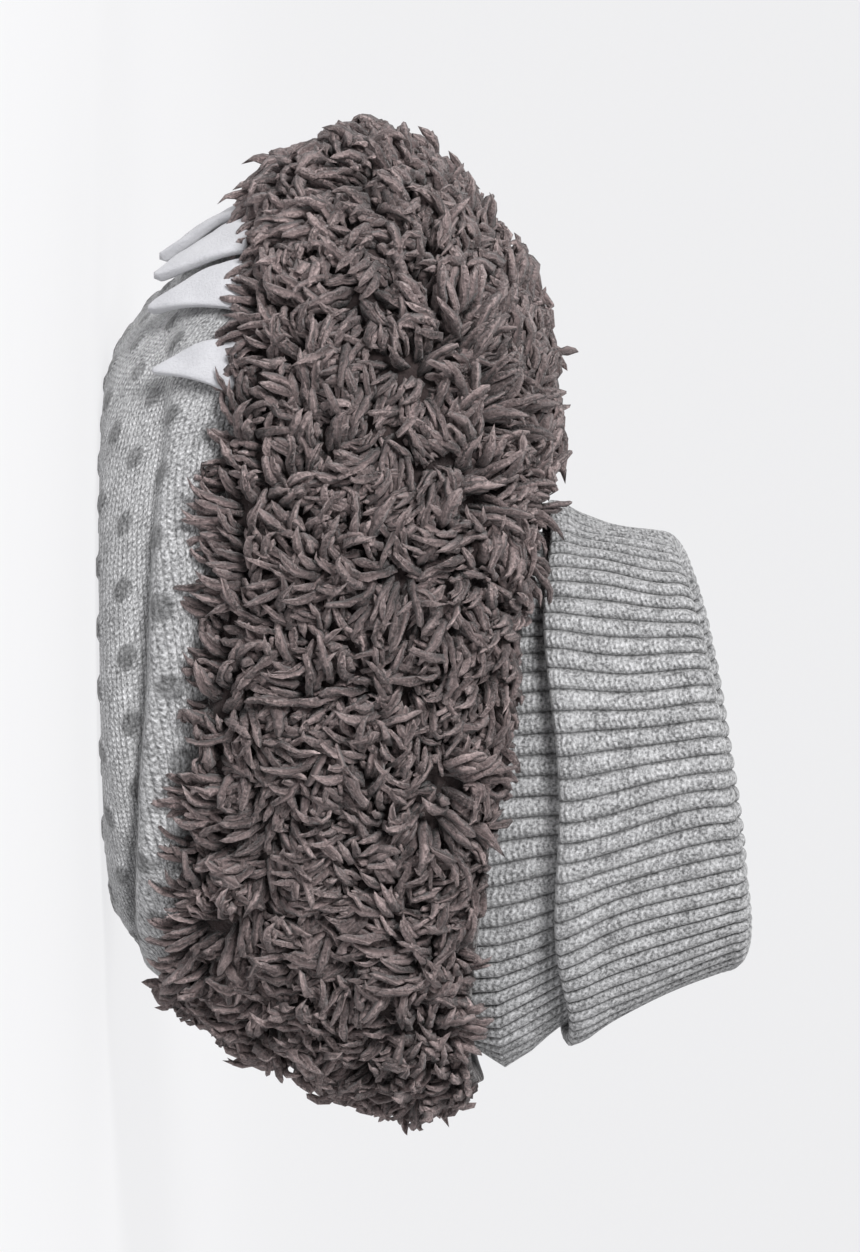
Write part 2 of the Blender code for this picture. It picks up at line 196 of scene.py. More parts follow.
def sole_curve(turn, t):
    high, low = seam(turn) - xyz(0.0, 0.0, GAP), floor_edge(turn)
    drop = xyz(0.0, 0.0, TOE_SEAM_HEIGHT * read(SOLE_TABLE, "drop", turn))
    leave = high + away(seam, turn, SOLE_TABLE, "belly_high") - drop
    return bezier(high, leave, low + away(floor_edge, turn, SOLE_TABLE, "belly_low"), low, t)


def sole_side(turn, t):
    share = np.where(t < CREASE_AT, t / CREASE_AT, (t - CREASE_AT) / (1 - CREASE_AT))
    swell = ROLL_SWELL * read(SOLE_TABLE, "roll", turn) * np.sin(np.pi * share)
    return sole_curve(turn, t) + outward(seam, turn) * swell[..., None]


def cup_side(turn, t):
    high = seam(turn) - xyz(0.0, 0.0, GAP) - outward(seam, turn) * SOLE_PAD
    low = floor_edge(turn) + xyz(0.0, 0.0, SOLE_PAD)
    drop = xyz(0.0, 0.0, TOE_SEAM_HEIGHT * read(SOLE_TABLE, "drop", turn) / 2)
    return bezier(high, high - drop, low + away(floor_edge, turn, SOLE_TABLE, "belly_low") / 2, low, t)


def square_to(surface, turn, t):
    before, after = np.maximum(t - 0.01, 0.0), np.minimum(t + 0.01, 1.0)
    around = surface(turn + 0.5, t) - surface(turn - 0.5, t)
    normal = unit(np.cross(around, surface(turn, after) - surface(turn, before)))
    middle = surface(turn, t) - xyz(COLLAR_MIDDLE, 0.0, COLLAR_HEIGHT / 2)
    return normal * np.where((normal * middle).sum(-1, keepdims=True) > 0, 1.0, -1.0)


def moved(surface, turn, t, distance):
    return surface(turn, t) + square_to(surface, turn, t) * np.asarray(distance)[..., None]


half_way = skin(np.array(0.0), np.array(0.5))
print("the fleece's backing above the toes lies at", half_way.round(4))


# %% [markdown]
# A shader is a little sum: noise times a colour, plus a pattern. Written as nodes it takes hundreds of
# lines, so a small class wraps a socket and lets Python's own signs add the Math nodes. Every other node
# comes from its one method `add`, which takes the node's settings and the values or links of its sockets.

# %% A class for shader sums
class Link:
    def __init__(self, tree, socket=None):
        self.tree, self.socket = tree, socket

    def add(self, kind, sockets=None, out=0, **settings):
        node = self.tree.nodes.new("ShaderNode" + kind)
        stops = settings.pop("stops", ())
        for name, value in settings.items():
            setattr(node, name, value)
        for i, (place, color) in enumerate(stops):
            stop = node.color_ramp.elements[i] if i < 2 else node.color_ramp.elements.new(place)
            stop.position, stop.color = place, (*color, 1.0)
        for name, value in (sockets or {}).items():
            if isinstance(value, Link):
                self.tree.links.new(value.socket, node.inputs[name])
            elif value is not None:
                node.inputs[name].default_value = value
        return Link(self.tree, node.outputs[out] if len(node.outputs) else None)

    def math(self, operation, *values):
        return self.add("Math", dict(enumerate(values)), operation=operation)

    def __add__(self, other):
        return self.math("ADD", self, other)

    def __sub__(self, other):
        return self.math("SUBTRACT", self, other)

    def __rsub__(self, other):
        return self.math("SUBTRACT", other, self)

    def __mul__(self, other):
        return self.math("MULTIPLY", self, other)

    def __truediv__(self, other):
        return self.math("DIVIDE", self, other)

    def __pow__(self, other):
        return self.math("POWER", self, other)

    __radd__, __rmul__ = __add__, __mul__


def begin(name):
    material = bpy.data.materials.new(name)
    material.use_nodes = True
    material.node_tree.nodes.clear()
    return material, Link(material.node_tree)


def end(start, color, roughness, height, relief, sheen=0.3):
    """Close a cloth's shader: its colour, its roughness and a bump of so many metres."""
    bump = start.add("Bump", {"Height": height, "Distance": relief, "Strength": 1.0})
    cloth = {"Base Color": color, "Roughness": roughness, "Normal": bump, "IOR": 1.45}
    cloth.update({"Sheen Weight": sheen, "Sheen Roughness": 0.5, "Specular IOR Level": 0.2})
    start.add("OutputMaterial", {"Surface": start.add("BsdfPrincipled", cloth)})


print("methods of a link:", [name for name in vars(Link) if not name.startswith("__")])

# %% [markdown]
# Heather yarn is spun from light and dark fibres, so knitted cloth is speckled stitch by stitch and clouded
# over a few millimetres. Both are noise on the cloth's own coordinates, at those two sizes. The stitches
# themselves are small V shapes: a wave along the wale that is bent by the distance from the wale's middle.

# %% Heather and stitches
DARK_YARN, GREY_YARN, PALE_YARN = (0.125, 0.125, 0.128), (0.37, 0.37, 0.375), (0.66, 0.66, 0.67)
FLECK_SIZE, CLOUD_SIZE, CLOUD_SHARE = 0.00042, 0.0030, 0.22


def noise(start, vector, size, detail=2.0, roughness=0.5):
    sockets = {"Vector": vector, "Scale": 1 / size, "Detail": detail, "Roughness": roughness}
    return start.add("TexNoise", sockets, out="Fac")


def cloth_map(start):
    """The piece's own map and its two coordinates."""
    uv = start.add("UVMap", out="UV", uv_map="UVMap")
    x = start.add("SeparateXYZ", {0: uv})
    return uv, x, Link(start.tree, x.socket.node.outputs[1])


def heather(start, cloth, fleck_size=FLECK_SIZE):
    """The yarns' colour, and the noise that mixes them."""
    fleck = noise(start, cloth, fleck_size, 3.0, 0.70)
    cloud = noise(start, cloth, CLOUD_SIZE, 3.0, 0.6)
    blend = fleck * (1 - CLOUD_SHARE) + cloud * CLOUD_SHARE
    stops = ((0.37, DARK_YARN), (0.49, GREY_YARN), (0.62, PALE_YARN))
    return start.add("ValToRGB", {"Fac": blend}, stops=stops), blend


def stitches(across, along):
    """Wales and courses: 1 on a stitch's back, 0 between two stitches."""
    middle = across - across.math("FLOOR", across) - 0.5
    wale = middle.math("ABSOLUTE", middle)
    slant = along - wale * 0.9
    course = slant.math("SINE", slant * (2 * math.pi)) * 0.5 + 0.5
    ridge = 1 - (wale * 2) ** 3
    return course * 0.6 * ridge + ridge * 0.4


def darken(start, color, share):
    sockets = {"Factor": 1.0, 6: color, 7: share}
    return start.add("Mix", sockets, out=2, data_type="RGBA", blend_type="MULTIPLY")


print("three yarns:", DARK_YARN, GREY_YARN, PALE_YARN)

# %% [markdown]
# The sole's jersey has soft grip dots printed on it, in staggered rows about 7 mm apart. The same rule
# places them twice: in Python, to raise the cloth a little under each dot, and in the material, to darken it
# there. Both read the flat pattern of the sole, as the cloth lay before it was cupped round the foot.

# %% Jersey with grip dots
WALE, COURSE = 0.00080, 0.00068
DOT_PITCH, DOT_ROW, DOT_RADIUS, DOT_RELIEF = 0.0078, 0.0062, 0.00155, 0.00035


def dot_height(x, y):
    """How far a point of the flat pattern stands on a dot: 1 on its top and 0 off it."""
    row = np.rint(y / DOT_ROW)
    shift = x - np.where(row % 2 == 0, 0.0, DOT_PITCH / 2)
    dx = shift - np.rint(shift / DOT_PITCH) * DOT_PITCH
    distance = np.hypot(dx, y - row * DOT_ROW)
    return np.clip((DOT_RADIUS * 1.15 - distance) / (DOT_RADIUS * 0.45), 0.0, 1.0)


def dot_mask(start, x, y):
    rows = y / DOT_ROW
    row = rows.math("ROUND", rows)
    odd = row.math("PINGPONG", row, 1.0)
    shift = x - odd * (DOT_PITCH / 2)
    near = shift / DOT_PITCH
    dx = shift - near.math("ROUND", near) * DOT_PITCH
    dy = y - row * DOT_ROW
    distance = (dx * dx + dy * dy) ** 0.5
    edge = {0: distance, 1: DOT_RADIUS * 1.12, 2: DOT_RADIUS * 0.72}
    return start.add("MapRange", edge, interpolation_type="SMOOTHSTEP")


def make_jersey(name, dots):
    material, start = begin(name)
    uv, x, y = cloth_map(start)
    wobble = noise(start, uv, 0.006) * 0.35
    knit = stitches(y / WALE + wobble, x / COURSE + wobble)
    color, fleck = heather(start, uv)
    # The knit darkens the colour between the stitches: painted shade. The dots' darker print below is their
    # own colour.
    shade = knit * 0.42 + 0.64
    height = knit * 0.7 + fleck * 0.5
    if dots:
        mask = dot_mask(start, x, y) * (noise(start, uv, 0.0009) * 0.6 + 0.65)
        shade = shade * (1 - mask * 0.60)
        height = height * (1 - mask * 0.7) + mask * 0.4
    end(start, darken(start, color, shade), 0.95, height, 0.00028)
    return material


jersey = make_jersey("dotted_jersey", dots=True)
plain_jersey = make_jersey("plain_jersey", dots=False)
print("grip dots of", 2 * DOT_RADIUS, "m every", DOT_PITCH, "m")

# %% [markdown]
# The cuff's rib knit has one raised wale, then one sunk one. Its ribs are real ridges in the mesh, because
# they show in the outline, and the stitches on each rib are bump. The map's first coordinate counts ribs, so
# a rib's middle lies at a half and its grooves at whole numbers.

# %% Rib knit
RIBS = 76
RIB_COURSE, RIB_FLECK = 0.00085, 0.00040


def make_rib():
    material, start = begin("rib_knit")
    x, y = cloth_map(start)[1:]
    spot = start.add("TexCoord", out="Object")
    wobble = noise(start, spot, 0.005) * 0.5
    knit = stitches(x, y / RIB_COURSE + wobble)
    color, fleck = heather(start, spot, RIB_FLECK)
    # The grooves between the ribs and the gaps between the stitches are painted darker: painted shade.
    middle = x - x.math("FLOOR", x) - 0.5
    groove = (middle.math("ABSOLUTE", middle) * 2) ** 7
    shade = (knit * 0.32 + 0.62) * (1 - groove * 0.68)
    end(start, darken(start, color, shade), 0.95, knit * 0.8 + fleck * 0.6 - groove * 0.5, 0.00030)
    return material


rib_knit = make_rib()
print("ribs round the cuff:", RIBS)

# %% [markdown]
# The locks are painted darker towards their roots, as painted shade deep in the pile, and paler towards
# their tips and along the flat edges of their strands, as painted highlight where the light catches the
# twisted fibres. Each strand carries a map that runs from its root to its tip, and each lock an attribute
# with its own tone, so that no two locks are quite alike. Fine fibres run along a strand, as noise stretched
# from root to tip.

# %% Fleece and felt
# The root colour is painted shade deep in the pile, and the tip colour is a painted highlight.
PAINTED_ROOT_SHADE, MIDDLE, PAINTED_TIP_LIGHT = (0.014, 0.009, 0.009), (0.150, 0.113, 0.111), (0.430, 0.340, 0.330)
# The pelt's two colours are painted shade: nearly black, for the deep gaps between the locks.
PELT_SHADE_DARK, PELT_SHADE_PALE = (0.016, 0.011, 0.011), (0.060, 0.044, 0.043)
FELT_DARK, FELT_PALE = (0.43, 0.43, 0.455), (0.54, 0.54, 0.565)


def make_locks():
    material, start = begin("fleece_locks")
    around, along = cloth_map(start)[1:]
    tone = start.add("Attribute", out="Fac", attribute_name="tone")
    spot = start.add("TexCoord", out="Object")
    crimp = start.add("MapRange", {0: noise(start, spot, 0.00040, 3.0, 0.65), 1: 0.32, 2: 0.68})
    fibres = start.add("CombineXYZ", {"X": around * 5 + crimp * 0.5, "Y": along * 1.4, "Z": tone * 90})
    strand = start.add("MapRange", {0: noise(start, fibres, 1.0, 3.0, 0.6), 1: 0.34, 2: 0.64})
    # A painted highlight along the strands' flat edges; the ramp from root to tip paints shade at the roots
    # and light at the tips.
    edge = around.math("COSINE", around * (2 * math.pi)) ** 4
    woolly = strand * 0.55 + crimp * 0.45
    stops = ((0.12, PAINTED_ROOT_SHADE), (0.50, MIDDLE), (1.0, PAINTED_TIP_LIGHT))
    pale = along * 0.62 + woolly * 0.42 + edge * 0.12 - 0.16
    color = start.add("ValToRGB", {"Fac": pale}, stops=stops)
    shade = (woolly * 1.25 + 0.25) * (tone * 0.60 + 0.75)
    end(start, darken(start, color, shade), 0.85, woolly, 0.00045, sheen=0.2)
    return material


def make_pelt():
    material, start = begin("fleece_ground")
    spot = start.add("TexCoord", out="Object")
    curl = noise(start, spot, 0.0016, 4.0, 0.65)
    # Painted shade: the ground is coloured nearly black between the locks, clouded by noise.
    color = start.add("ValToRGB", {"Fac": curl}, stops=((0.30, PELT_SHADE_DARK), (0.75, PELT_SHADE_PALE)))
    end(start, color, 0.95, curl, 0.0008)
    return material


def make_felt():
    material, start = begin("white_felt")
    spot = start.add("TexCoord", out="Object")
    fuzz = noise(start, spot, 0.00030, 4.0, 0.7)
    soft = noise(start, spot, 0.0035, 2.0)
    stops = ((0.30, FELT_DARK), (0.62, FELT_PALE))
    color = start.add("ValToRGB", {"Fac": fuzz * 0.5 + soft * 0.5}, stops=stops)
    end(start, color, 0.92, fuzz + soft * 0.6, 0.00018)
    return material


lock_colour_and_painted_light, pelt_painted_shade, felt = make_locks(), make_pelt(), make_felt()
print("made", lock_colour_and_painted_light.name, pelt_painted_shade.name, felt.name)


# %% [markdown]
# Every soft piece starts as a grid primitive. Its columns go round the foot and its rows go along a section,
# from strip to strip: down the cup, over the rim, down the side. The first and the last column then meet and
# are merged, and so are rows that close to a point.

# %% Lay a grid on a surface
def lay(name, columns, strips, material, pattern=None):
    bpy.ops.object.select_all(action="DESELECT")
    rows = sum(strip[0] for strip in strips)
    bpy.ops.mesh.primitive_grid_add(x_subdivisions=columns, y_subdivisions=rows, size=2)
    piece = bpy.context.object
    piece.name = piece.data.name = name
    flat = np.empty(len(piece.data.vertices) * 3)
    piece.data.vertices.foreach_get("co", flat)
    flat = flat.reshape(-1, 3)
    column, row = np.rint((flat[:, 0] + 1) / 2 * columns), np.rint((flat[:, 1] + 1) / 2 * rows)
    turn = column * 360.0 / columns
    place, cloth = np.zeros((len(flat), 3)), np.zeros((len(flat), 2))
    first = 0
    for count, surface in strips:
        here = (row >= first) & (row <= first + count)
        share = (row[here] - first) / count
        place[here] = surface(turn[here], share)
        if pattern:
            cloth[here] = pattern(surface, turn[here], share, place[here])
        first += count
    piece.data.vertices.foreach_set("co", place.ravel())
    if pattern:
        corner = np.empty(len(piece.data.loops), int)
        piece.data.loops.foreach_get("vertex_index", corner)
        piece.data.uv_layers[0].data.foreach_set("uv", cloth[corner].ravel())
    piece.data.update()
    piece.data.materials.append(material)
    bpy.ops.object.mode_set(mode="EDIT")
    bpy.ops.mesh.select_all(action="SELECT")
    bpy.ops.mesh.remove_doubles(threshold=0.000002)
    bpy.ops.mesh.normals_make_consistent(inside=False)
    bpy.ops.object.mode_set(mode="OBJECT")
    bpy.ops.object.shade_smooth()
    print(name, "has", len(piece.data.polygons), "faces")
    return piece


def dress(piece, slot, *nodes):
    """The piece rides with the bootie and stands for the nodes. The slot is not used."""
    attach(piece, "root")
    if nodes:
        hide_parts(*nodes)


# %% [markdown]
# The sole is a padded cup. Seen from outside it has two soft rolls with a crease between them, and the cloth
# is gathered a little where it is eased round the toe. It stands on its dots, so the cloth between them
# stays a third of a millimetre off the floor. Its waves and gathers never reach far out, because the claws
# lie over it.

# %% The padded sole
CREASE_PINCH, CREASE_ABOVE, CREASE_BELOW = 0.0021, 0.050, 0.13
CREASE_SAG, SAG_WIDTH = 0.0011, 0.07
GATHER, WAVE, QUILT = 0.00018, 0.00025, 0.00025


def puffed_side(turn, t):
    """The side with its crease: the upper roll overhangs it, and the lower one leaves it softly."""
    a = np.radians(turn)
    roll = read(SOLE_TABLE, "roll", turn)
    middle = CREASE_AT + 0.012 * np.sin(3 * a + 1.0) + 0.006 * np.sin(11 * a)
    width = np.where(t < middle, CREASE_ABOVE, CREASE_BELOW)
    pinch = CREASE_PINCH * roll * np.exp(-(((t - middle) / width) ** 2))
    sag = CREASE_SAG * roll * np.exp(-(((t - middle + SAG_WIDTH) / SAG_WIDTH) ** 2))
    toe = np.clip(np.cos(a), 0.0, 1.0) ** 1.5
    gather = GATHER * toe * np.sin(a * 46 + 1.2 * np.sin(a * 7)) * np.exp(-((t / 0.45) ** 2))
    waves = WAVE * np.sin(a * 9 + 5 * t) * np.sin(np.pi * t)
    out = np.minimum(gather + waves - pinch, WAVE)
    return sole_side(turn, t) + outward(seam, turn) * out[..., None] - xyz(0.0, 0.0, sag)


def flat_pattern(turn, t):
    """Where a point of the side lay on the flat cloth: as far past the floor's edge as it is up the side."""
    steps = 12
    length = np.zeros(np.shape(turn))
    for i in range(steps):
        a, b = 1 - (1 - t) * i / steps, 1 - (1 - t) * (i + 1) / steps
        length += np.linalg.norm(sole_curve(turn, a) - sole_curve(turn, b), axis=-1)
    return floor_edge(turn)[..., :2] + outward(floor_edge, turn)[..., :2] * length[..., None]


def knobbly_side(turn, t):
    point = puffed_side(turn, t)
    flat = flat_pattern(turn, t)
    dots = dot_height(flat[..., 0], flat[..., 1])
    lift = square_to(sole_curve, turn, np.clip(t, 0.02, 0.98))
    point += lift * (DOT_RELIEF * (dots - 1) * np.minimum(1.0, t / 0.08))[..., None]
    point[..., 2] = np.maximum(point[..., 2], (1 - dots) * DOT_RELIEF)
    return point


def knobbly_floor(turn, share):
    point = between(floor_edge(turn), xyz(FLOOR_MIDDLE, 0.0, 0.0), share)
    x, y = point[..., 0], point[..., 1]
    quilt = 0.5 + 0.5 * np.sin(x * 420 + 2 * np.sin(y * 200)) * np.sin(y * 380)
    point[..., 2] = (1 - dot_height(x, y)) * (DOT_RELIEF + QUILT * quilt * np.minimum(1.0, share * 6))
    return point


def cup_floor(turn, share):
    return between(xyz(FLOOR_MIDDLE, 0.0, SOLE_PAD), cup_side(turn, full(turn, 1)), share)


def rim(turn, share):
    return between(cup_side(turn, full(turn, 0)), puffed_side(turn, full(turn, 0)), share)


def from_above(surface, turn, share, place):
    return place[:, :2]


def sole_pattern(surface, turn, share, place):
    if surface is knobbly_side:
        return flat_pattern(turn, share)
    return from_above(surface, turn, share, place)


sole_strips = (
    (6, cup_floor),
    (8, lambda turn, share: cup_side(turn, 1 - share)),
    (2, rim),
    (44, knobbly_side),
    (30, knobbly_floor),
)
padded_sole = lay("padded_sole", 360, sole_strips, jersey, sole_pattern)
dress(padded_sole, "jersey", "knit_sole")

# %% [markdown]
# The insole is a thin soft pad with an eased edge and a slight dish. It hardly shows, but whoever looks down
# the cuff sees it.

# %% The insole
INSOLE_DISH = 0.0004


def insole_side(turn, share):
    """Up the pad's edge and over on to its top."""
    base = cup_side(turn, full(turn, 1)) - outward(floor_edge, turn) * INSOLE_EDGE
    quarter = share * math.pi / 2
    back = outward(floor_edge, turn) * (INSOLE_EDGE * (1 - np.cos(quarter)))[..., None]
    rise = GAP + (INSOLE_THICK - INSOLE_EDGE) * np.minimum(1.0, share * 3) + INSOLE_EDGE * np.sin(quarter)
    return base - back + xyz(0.0, 0.0, rise)


def insole_top(turn, share):
    edge = insole_side(turn, full(turn, 1))
    point = between(edge, xyz(FLOOR_MIDDLE, 0.0, edge[..., 2]), share)
    point[..., 2] -= INSOLE_DISH * np.sin(np.pi * np.minimum(share, 0.5)) ** 2
    return point


def insole_base(turn, share):
    edge = insole_side(turn, full(turn, 0))
    return between(xyz(FLOOR_MIDDLE, 0.0, edge[..., 2]), edge, share)


insole_strips = ((2, insole_base), (6, insole_side), (14, insole_top))
soft_insole = lay("soft_insole", 120, insole_strips, plain_jersey, from_above)
dress(soft_insole, "insole_cloth", "insole")

# %% [markdown]
# The cuff is one knitted tube: up from the collar, over the fold and down again to its hem. A section runs
# along all of it and back on the inside. The ribs follow the section the whole way, so they turn over the
# fold, and the edge of the hem is rounded like a real turned edge.

# %% The ribbed cuff
RIB_DEPTH, RIB_SWAY = 0.00050, 0.7
SLACK_WAVE, HEM_WAVE, HEM_ROUND, HEM_PUFF = 0.00045, 0.0006, 0.0006, 0.0005


def ankle_low(turn):
    inner_edge = moved(skin, turn, full(turn, 1), full(turn, -BACKING))
    return inner_edge - outward(collar, turn) * GAP - xyz(0.0, 0.0, TUCK)


def ankle_high(turn):
    height = (COLLAR_HEIGHT + FOLD_RISE) * read(ANKLE_TABLE, "fold", turn) - RIB_THICK - RIB_SLACK / 2
    return rounded(FOLD_LENGTH, FOLD_WIDTH, turn, 2) + xyz(FOLD_MIDDLE, 0.0, height)


def rib_ridge(turn):
    """1 on a rib's back and 0 in the groove beside it."""
    return np.abs(np.sin(np.pi * turn / 360.0 * RIBS)) ** 0.55


def hem_share(turn):
    low, high = ankle_low(turn)[..., 2], ankle_high(turn)[..., 2]
    sag = HEM_WAVE * np.sin(np.radians(turn) * 5 + 0.7)
    return ((COLLAR_HEIGHT + HEM_RISE) * read(ANKLE_TABLE, "hem", turn) + sag - low) / (high - low)


def cuff_point(turn, height, off, rise=0.0):
    """A point at a share of the cuff's height, so far off the tube's outer face. The ribs sway a little."""
    free = np.sin(np.pi * np.clip(height, 0, 1))
    sway = np.sin(np.radians(turn) * 3 + 6 * height) + 0.6 * np.sin(np.radians(turn) * 8 - 9 * height)
    turn = turn + RIB_SWAY * sway * free**0.5
    slack = SLACK_WAVE * np.sin(np.radians(turn) * 6 + 7 * height) * free
    off_tube = outward(collar, turn) * (off + slack)[..., None]
    return between(ankle_low(turn), ankle_high(turn), height) + off_tube + xyz(0.0, 0.0, rise)


def shaft_swell(turn, height):
    """How far the shaft bulges up to the hem. Above the hem the bulge fades out."""
    share = height / hem_share(turn)
    bulge = np.interp(np.clip(share, 0, 1), SHAFT_TABLE["height"], SHAFT_TABLE["swell"])
    return SHAFT_SWELL * read(ANKLE_TABLE, "swell", turn) * bulge * np.clip((1.2 - share) * 5, 0, 1)


def tube_outside(turn, share):
    ridge = RIB_DEPTH * rib_ridge(turn) * (share < hem_share(turn) + 0.08)
    return cuff_point(turn, share, shaft_swell(turn, share) + ridge - RIB_DEPTH)


def inner_bend(turn, share):
    angle = np.pi * (1 - share)
    off = RIB_SLACK / 2 * (1 + np.cos(angle)) - RIB_DEPTH * (1 - share)
    return cuff_point(turn, full(turn, 1), off, RIB_SLACK / 2 * np.sin(angle))


def turned_inside(turn, share):
    height = 1 - (1 - hem_share(turn)) * share
    return cuff_point(turn, height, RIB_SLACK + HEM_FLARE * share**2)


def hem_edge(turn, share):
    angle = np.pi * share
    ridge = RIB_DEPTH * (rib_ridge(turn) - 1) * share
    off = RIB_SLACK + HEM_FLARE + RIB_THICK / 2 * (1 - np.cos(angle)) + ridge
    return cuff_point(turn, hem_share(turn), off, -HEM_ROUND * np.sin(angle))


def turned_outside(turn, share):
    height = 1 - (1 - hem_share(turn)) * (1 - share)
    puff = HEM_PUFF * np.exp(-(((share - 0.10) / 0.10) ** 2))
    off = RIB_SLACK + RIB_THICK + HEM_FLARE * (1 - share) ** 2 + RIB_DEPTH * (rib_ridge(turn) - 1) + puff
    return cuff_point(turn, height, off)


def crown(turn, share):
    angle = np.pi * share
    reach = RIB_SLACK / 2 + RIB_THICK + RIB_DEPTH * (rib_ridge(turn) - 1)
    return cuff_point(turn, full(turn, 1), RIB_SLACK / 2 + reach * np.cos(angle), reach * np.sin(angle))


def tube_inside(turn, share):
    height = 1 - share
    off = shaft_swell(turn, height) - RIB_THICK - RIB_DEPTH * (rib_ridge(turn) - 1)
    return cuff_point(turn, height, off)


def tube_end(turn, share):
    return between(tube_inside(turn, full(turn, 1)), tube_outside(turn, full(turn, 0)), share)


cuff_strips = (
    (10, tube_outside),
    (3, inner_bend),
    (5, turned_inside),
    (6, hem_edge),
    (16, turned_outside),
    (12, crown),
    (12, tube_inside),
    (1, tube_end),
)
strip_cloth = {
    tube_outside: (0.0, 0.036),
    inner_bend: (0.036, 0.0),
    turned_inside: (0.036, 0.022),
    hem_edge: (0.058, 0.002),
    turned_outside: (0.060, 0.022),
    crown: (0.082, 0.006),
    tube_inside: (0.088, 0.036),
    tube_end: (0.124, 0.002),
}


def rib_pattern(surface, turn, share, place):
    """Ribs round the cuff, and metres along the knit: where the strip's cloth begins and how long it is."""
    begins, length = strip_cloth[surface]
    return np.stack((turn / 360.0 * RIBS, begins + length * share), -1)


ribbed_cuff = lay("ribbed_cuff", RIBS * 8, cuff_strips, rib_knit, rib_pattern)
dress(ribbed_cuff, "rib", "rib_cuff")

# %% [markdown]
# The fleece's ground is the backing cloth with the dense foot of the pile on it, coloured nearly black as
# painted shade between the locks. It closes every view between the locks, and its inside is a plain jersey
# lining: the faces that look at the foot's core.

# %% The fleece's ground
PILE_GROUND, PILE_ROUGH = 0.0012, 0.0003
CORE_REACH, CORE_HEIGHT = 0.035, 0.028


def ground(turn, share):
    a = np.radians(turn)
    rough = PILE_ROUGH * np.sin(a * 31 + 20 * share) * np.sin(a * 17 - 34 * share)
    return moved(skin, turn, share, PILE_GROUND + rough)


def lining(turn, share):
    return moved(skin, turn, 1 - share, full(turn, -BACKING))


def collar_edge(turn, share):
    return moved(skin, turn, full(turn, 1), PILE_GROUND * (1 - share) - BACKING * share)


def seam_edge(turn, share):
    return between(lining(turn, full(turn, 1)), ground(turn, full(turn, 0)), share)


def round_and_up(surface, turn, share, place):
    return np.stack((turn / 360 * 0.22, share * 0.05), -1)


ground_strips = ((34, ground), (2, collar_edge), (18, lining), (2, seam_edge))
fleece_ground = lay("fleece_ground", 240, ground_strips, pelt_painted_shade, round_and_up)
fleece_ground.data.materials.append(plain_jersey)
inward = 0
for face in fleece_ground.data.polygons:
    core = Vector((min(max(face.center.x, -CORE_REACH), CORE_REACH), 0.0, CORE_HEIGHT))
    if face.normal.dot(face.center - core) < 0:
        face.material_index = 1
        inward += 1
dress(fleece_ground, "fleece", "fleece_upper")
print("faces of the lining:", inward)

# %% [markdown]
# A lock of sherpa fleece is a loose bundle of crimped strands that bends over and often hooks back at its
# tip. A few locks are modelled, each of three strands that start together, wind round each other and part
# towards their points. A strand is a grid primitive rolled round a curved spine. Thousands of copies are
# then set on the cloth, joined as one mesh per region.

# %% Model a few locks
LOCK_MODELS = 16
STRAND_LENGTHS = (1.00, 0.86, 0.74)
STRAND_SIDES, STRAND_RINGS = 4, 8
CRIMPS, CRIMP_BEND, CRIMP_SWELL = 2.6, 0.38, 0.20
STRAND_WIDTH, STRAND_FLAT, STRAND_APART = 0.66, 0.76, 0.34
PROFILE = {"along": (0.00, 0.12, 0.40, 0.70, 0.88, 1.00), "width": (0.00, 0.75, 1.00, 0.92, 0.60, 0.00)}


def model_strand(hook, swing, twist, start, apart):
    """A strand of length 1 that bends towards +X: its spine, its girth, its map and its faces."""
    bpy.ops.object.select_all(action="DESELECT")
    bpy.ops.mesh.primitive_grid_add(x_subdivisions=STRAND_SIDES, y_subdivisions=STRAND_RINGS, size=2)
    sheet = bpy.context.object
    around, along = ((np.array([corner.co[i] for corner in sheet.data.vertices]) + 1) / 2 for i in (0, 1))
    faces = np.array([tuple(face.vertices) for face in sheet.data.polygons])
    bpy.data.objects.remove(sheet)

    steps = np.linspace(0, 1, 61)
    crimp = CRIMP_BEND * np.sin(2 * np.pi * CRIMPS * steps + start) * steps
    rise = hook[0] + (hook[1] - hook[0]) * steps**1.25 + crimp
    side = swing * steps**1.5 + crimp[::-1]
    heading = np.stack((np.sin(rise) * np.cos(side), np.sin(rise) * np.sin(side), np.cos(rise)), -1)
    spine = np.concatenate((np.zeros((1, 3)), np.cumsum((heading[1:] + heading[:-1]) / 2, axis=0)))
    spine /= len(steps) - 1
    centre = np.stack([np.interp(along, steps, spine[:, i]) for i in range(3)], -1)
    ahead = unit(np.stack([np.interp(along, steps, heading[:, i]) for i in range(3)], -1))
    across = unit(np.cross(ahead, np.array((0.3, 1.0, 0.2))))
    other = np.cross(ahead, across)

    swell = 1 + CRIMP_SWELL * np.sin(2 * np.pi * (CRIMPS + 0.8) * along + start)
    width = STRAND_WIDTH / 2 * np.interp(along, PROFILE["along"], PROFILE["width"]) * swell
    angle = 2 * np.pi * around + twist * along
    place = apart + twist * along
    reach = STRAND_APART * (0.45 + 0.75 * along)
    wide = np.cos(angle) * width + np.cos(place) * reach
    thin = (np.sin(angle) * width + np.sin(place) * reach) * STRAND_FLAT
    girth = across * wide[:, None] + other * thin[:, None]
    return centre, girth, np.stack((around, along), -1), faces


